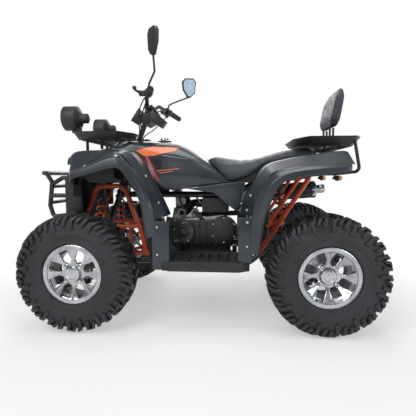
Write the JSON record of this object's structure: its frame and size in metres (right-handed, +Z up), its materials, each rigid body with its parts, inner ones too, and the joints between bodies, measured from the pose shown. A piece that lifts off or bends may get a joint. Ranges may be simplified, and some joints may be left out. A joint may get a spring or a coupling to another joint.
{
  "type": "quad bike",
  "caption": "Utility quad bike with chevron tyres, steered front wheels, solid rear axle, racks, bull bar, mirrors and a padded backrest.",
  "frame": {"origin": "on the ground, under the middle of the vehicle's box", "axes": "+X forward, +Y to the rider's left, +Z up"},
  "size_m": [1.7758, 1.056, 1.452],
  "materials": {
    "body_plastic": "dark slate blue moulded plastic, soft gloss",
    "frame_paint": "red-orange powder coat",
    "black_paint": "black powder coat",
    "black_plastic": "grained black plastic",
    "engine_black": "black painted castings",
    "seat_cover": "dark grey-blue leatherette",
    "tyre": "black tyre rubber",
    "alloy": "machined alloy with clear coat",
    "steel": "bare and zinc plated steel",
    "grip_rubber": "ribbed grip rubber",
    "lamp_glass": "clear lamp lens",
    "mirror": "pale blue mirror glass",
    "red_lens": "red lamp lens"
  },
  "bodies": {
    "chassis": {"frame_main": "black_paint", "frame_front": "frame_paint", "frame_rear": "frame_paint", "front_bumper": "black_paint", "radiator_grille": "black_plastic", "front_bodywork": "body_plastic", "front_flares": "body_plastic", "headlights": "lamp_glass", "front_rack": "black_plastic", "work_lamps": "black_plastic", "lamp_lenses": "lamp_glass", "tank_cover": "body_plastic", "seat": "seat_cover", "side_panels": "body_plastic", "rear_fender": "body_plastic", "rear_flares": "body_plastic", "rear_rack": "black_paint", "backrest_pad": "seat_cover", "footboards": "black_plastic", "foot_guards": "body_plastic", "engine": "engine_black", "belt_case": "engine_black", "air_box": "black_plastic", "exhaust": "black_paint", "suspension_arms": "black_paint", "shocks": "black_paint", "swingarm": "black_paint", "tail_light": "red_lens"},
    "steering": {"steering_column": "black_paint", "handlebar": "black_paint", "grips": "grip_rubber", "hand_controls": "black_plastic", "dash_pod": "black_plastic", "mirrors": "black_plastic", "mirror_glass": "mirror"},
    "knuckle_left": {"knuckle_left": "steel"},
    "knuckle_right": {"knuckle_right": "steel"},
    "tie_rod_left": {"tie_rod_left": "steel"},
    "tie_rod_right": {"tie_rod_right": "steel"},
    "wheel_front_left": {"rim_front_left": "alloy", "tyre_front_left": "tyre"},
    "wheel_front_right": {"rim_front_right": "alloy", "tyre_front_right": "tyre"},
    "rear_axle": {"rear_axle": "steel", "rear_rims": "alloy", "tyre_rear_left": "tyre", "tyre_rear_right": "tyre"}
  },
  "joints": [
    {"name": "steering_turn", "type": "hinge", "parent": "chassis", "child": "steering", "pos_m": [0.6385, 0, 0.322], "axis": [-0.3584, 0, 0.9336], "range_deg": [-30, 30]},
    {"name": "knuckle_left_steer", "type": "hinge", "parent": "chassis", "child": "knuckle_left", "pos_m": [0.5865, 0.338, 0.285], "axis": [0, 0, 1], "range_deg": [-30, 30]},
    {"name": "tie_rod_left_pivot", "type": "hinge", "parent": "steering", "child": "tie_rod_left", "pos_m": [0.57315, 0, 0.29691], "axis": [-0.3584, 0, 0.9336], "range_deg": [-30, 30]},
    {"name": "wheel_front_left_spin", "type": "hinge", "parent": "knuckle_left", "child": "wheel_front_left", "pos_m": [0.5865, 0.439, 0.285], "axis": [0, 1, 0], "continuous": true},
    {"name": "knuckle_right_steer", "type": "hinge", "parent": "chassis", "child": "knuckle_right", "pos_m": [0.5865, -0.338, 0.285], "axis": [0, 0, 1], "range_deg": [-30, 30]},
    {"name": "tie_rod_right_pivot", "type": "hinge", "parent": "steering", "child": "tie_rod_right", "pos_m": [0.57817, 0, 0.28384], "axis": [-0.3584, 0, 0.9336], "range_deg": [-30, 30]},
    {"name": "wheel_front_right_spin", "type": "hinge", "parent": "knuckle_right", "child": "wheel_front_right", "pos_m": [0.5865, -0.439, 0.285], "axis": [0, 1, 0], "continuous": true},
    {"name": "rear_axle_spin", "type": "hinge", "parent": "chassis", "child": "rear_axle", "pos_m": [-0.6035, 0, 0.285], "axis": [0, 1, 0], "continuous": true}
  ],
  "couplings": [
    {"joint": "knuckle_left_steer", "follows": "steering_turn", "ratio": 1},
    {"joint": "tie_rod_left_pivot", "follows": "steering_turn", "ratio": -1},
    {"joint": "knuckle_right_steer", "follows": "steering_turn", "ratio": 1},
    {"joint": "tie_rod_right_pivot", "follows": "steering_turn", "ratio": -1}
  ]
}
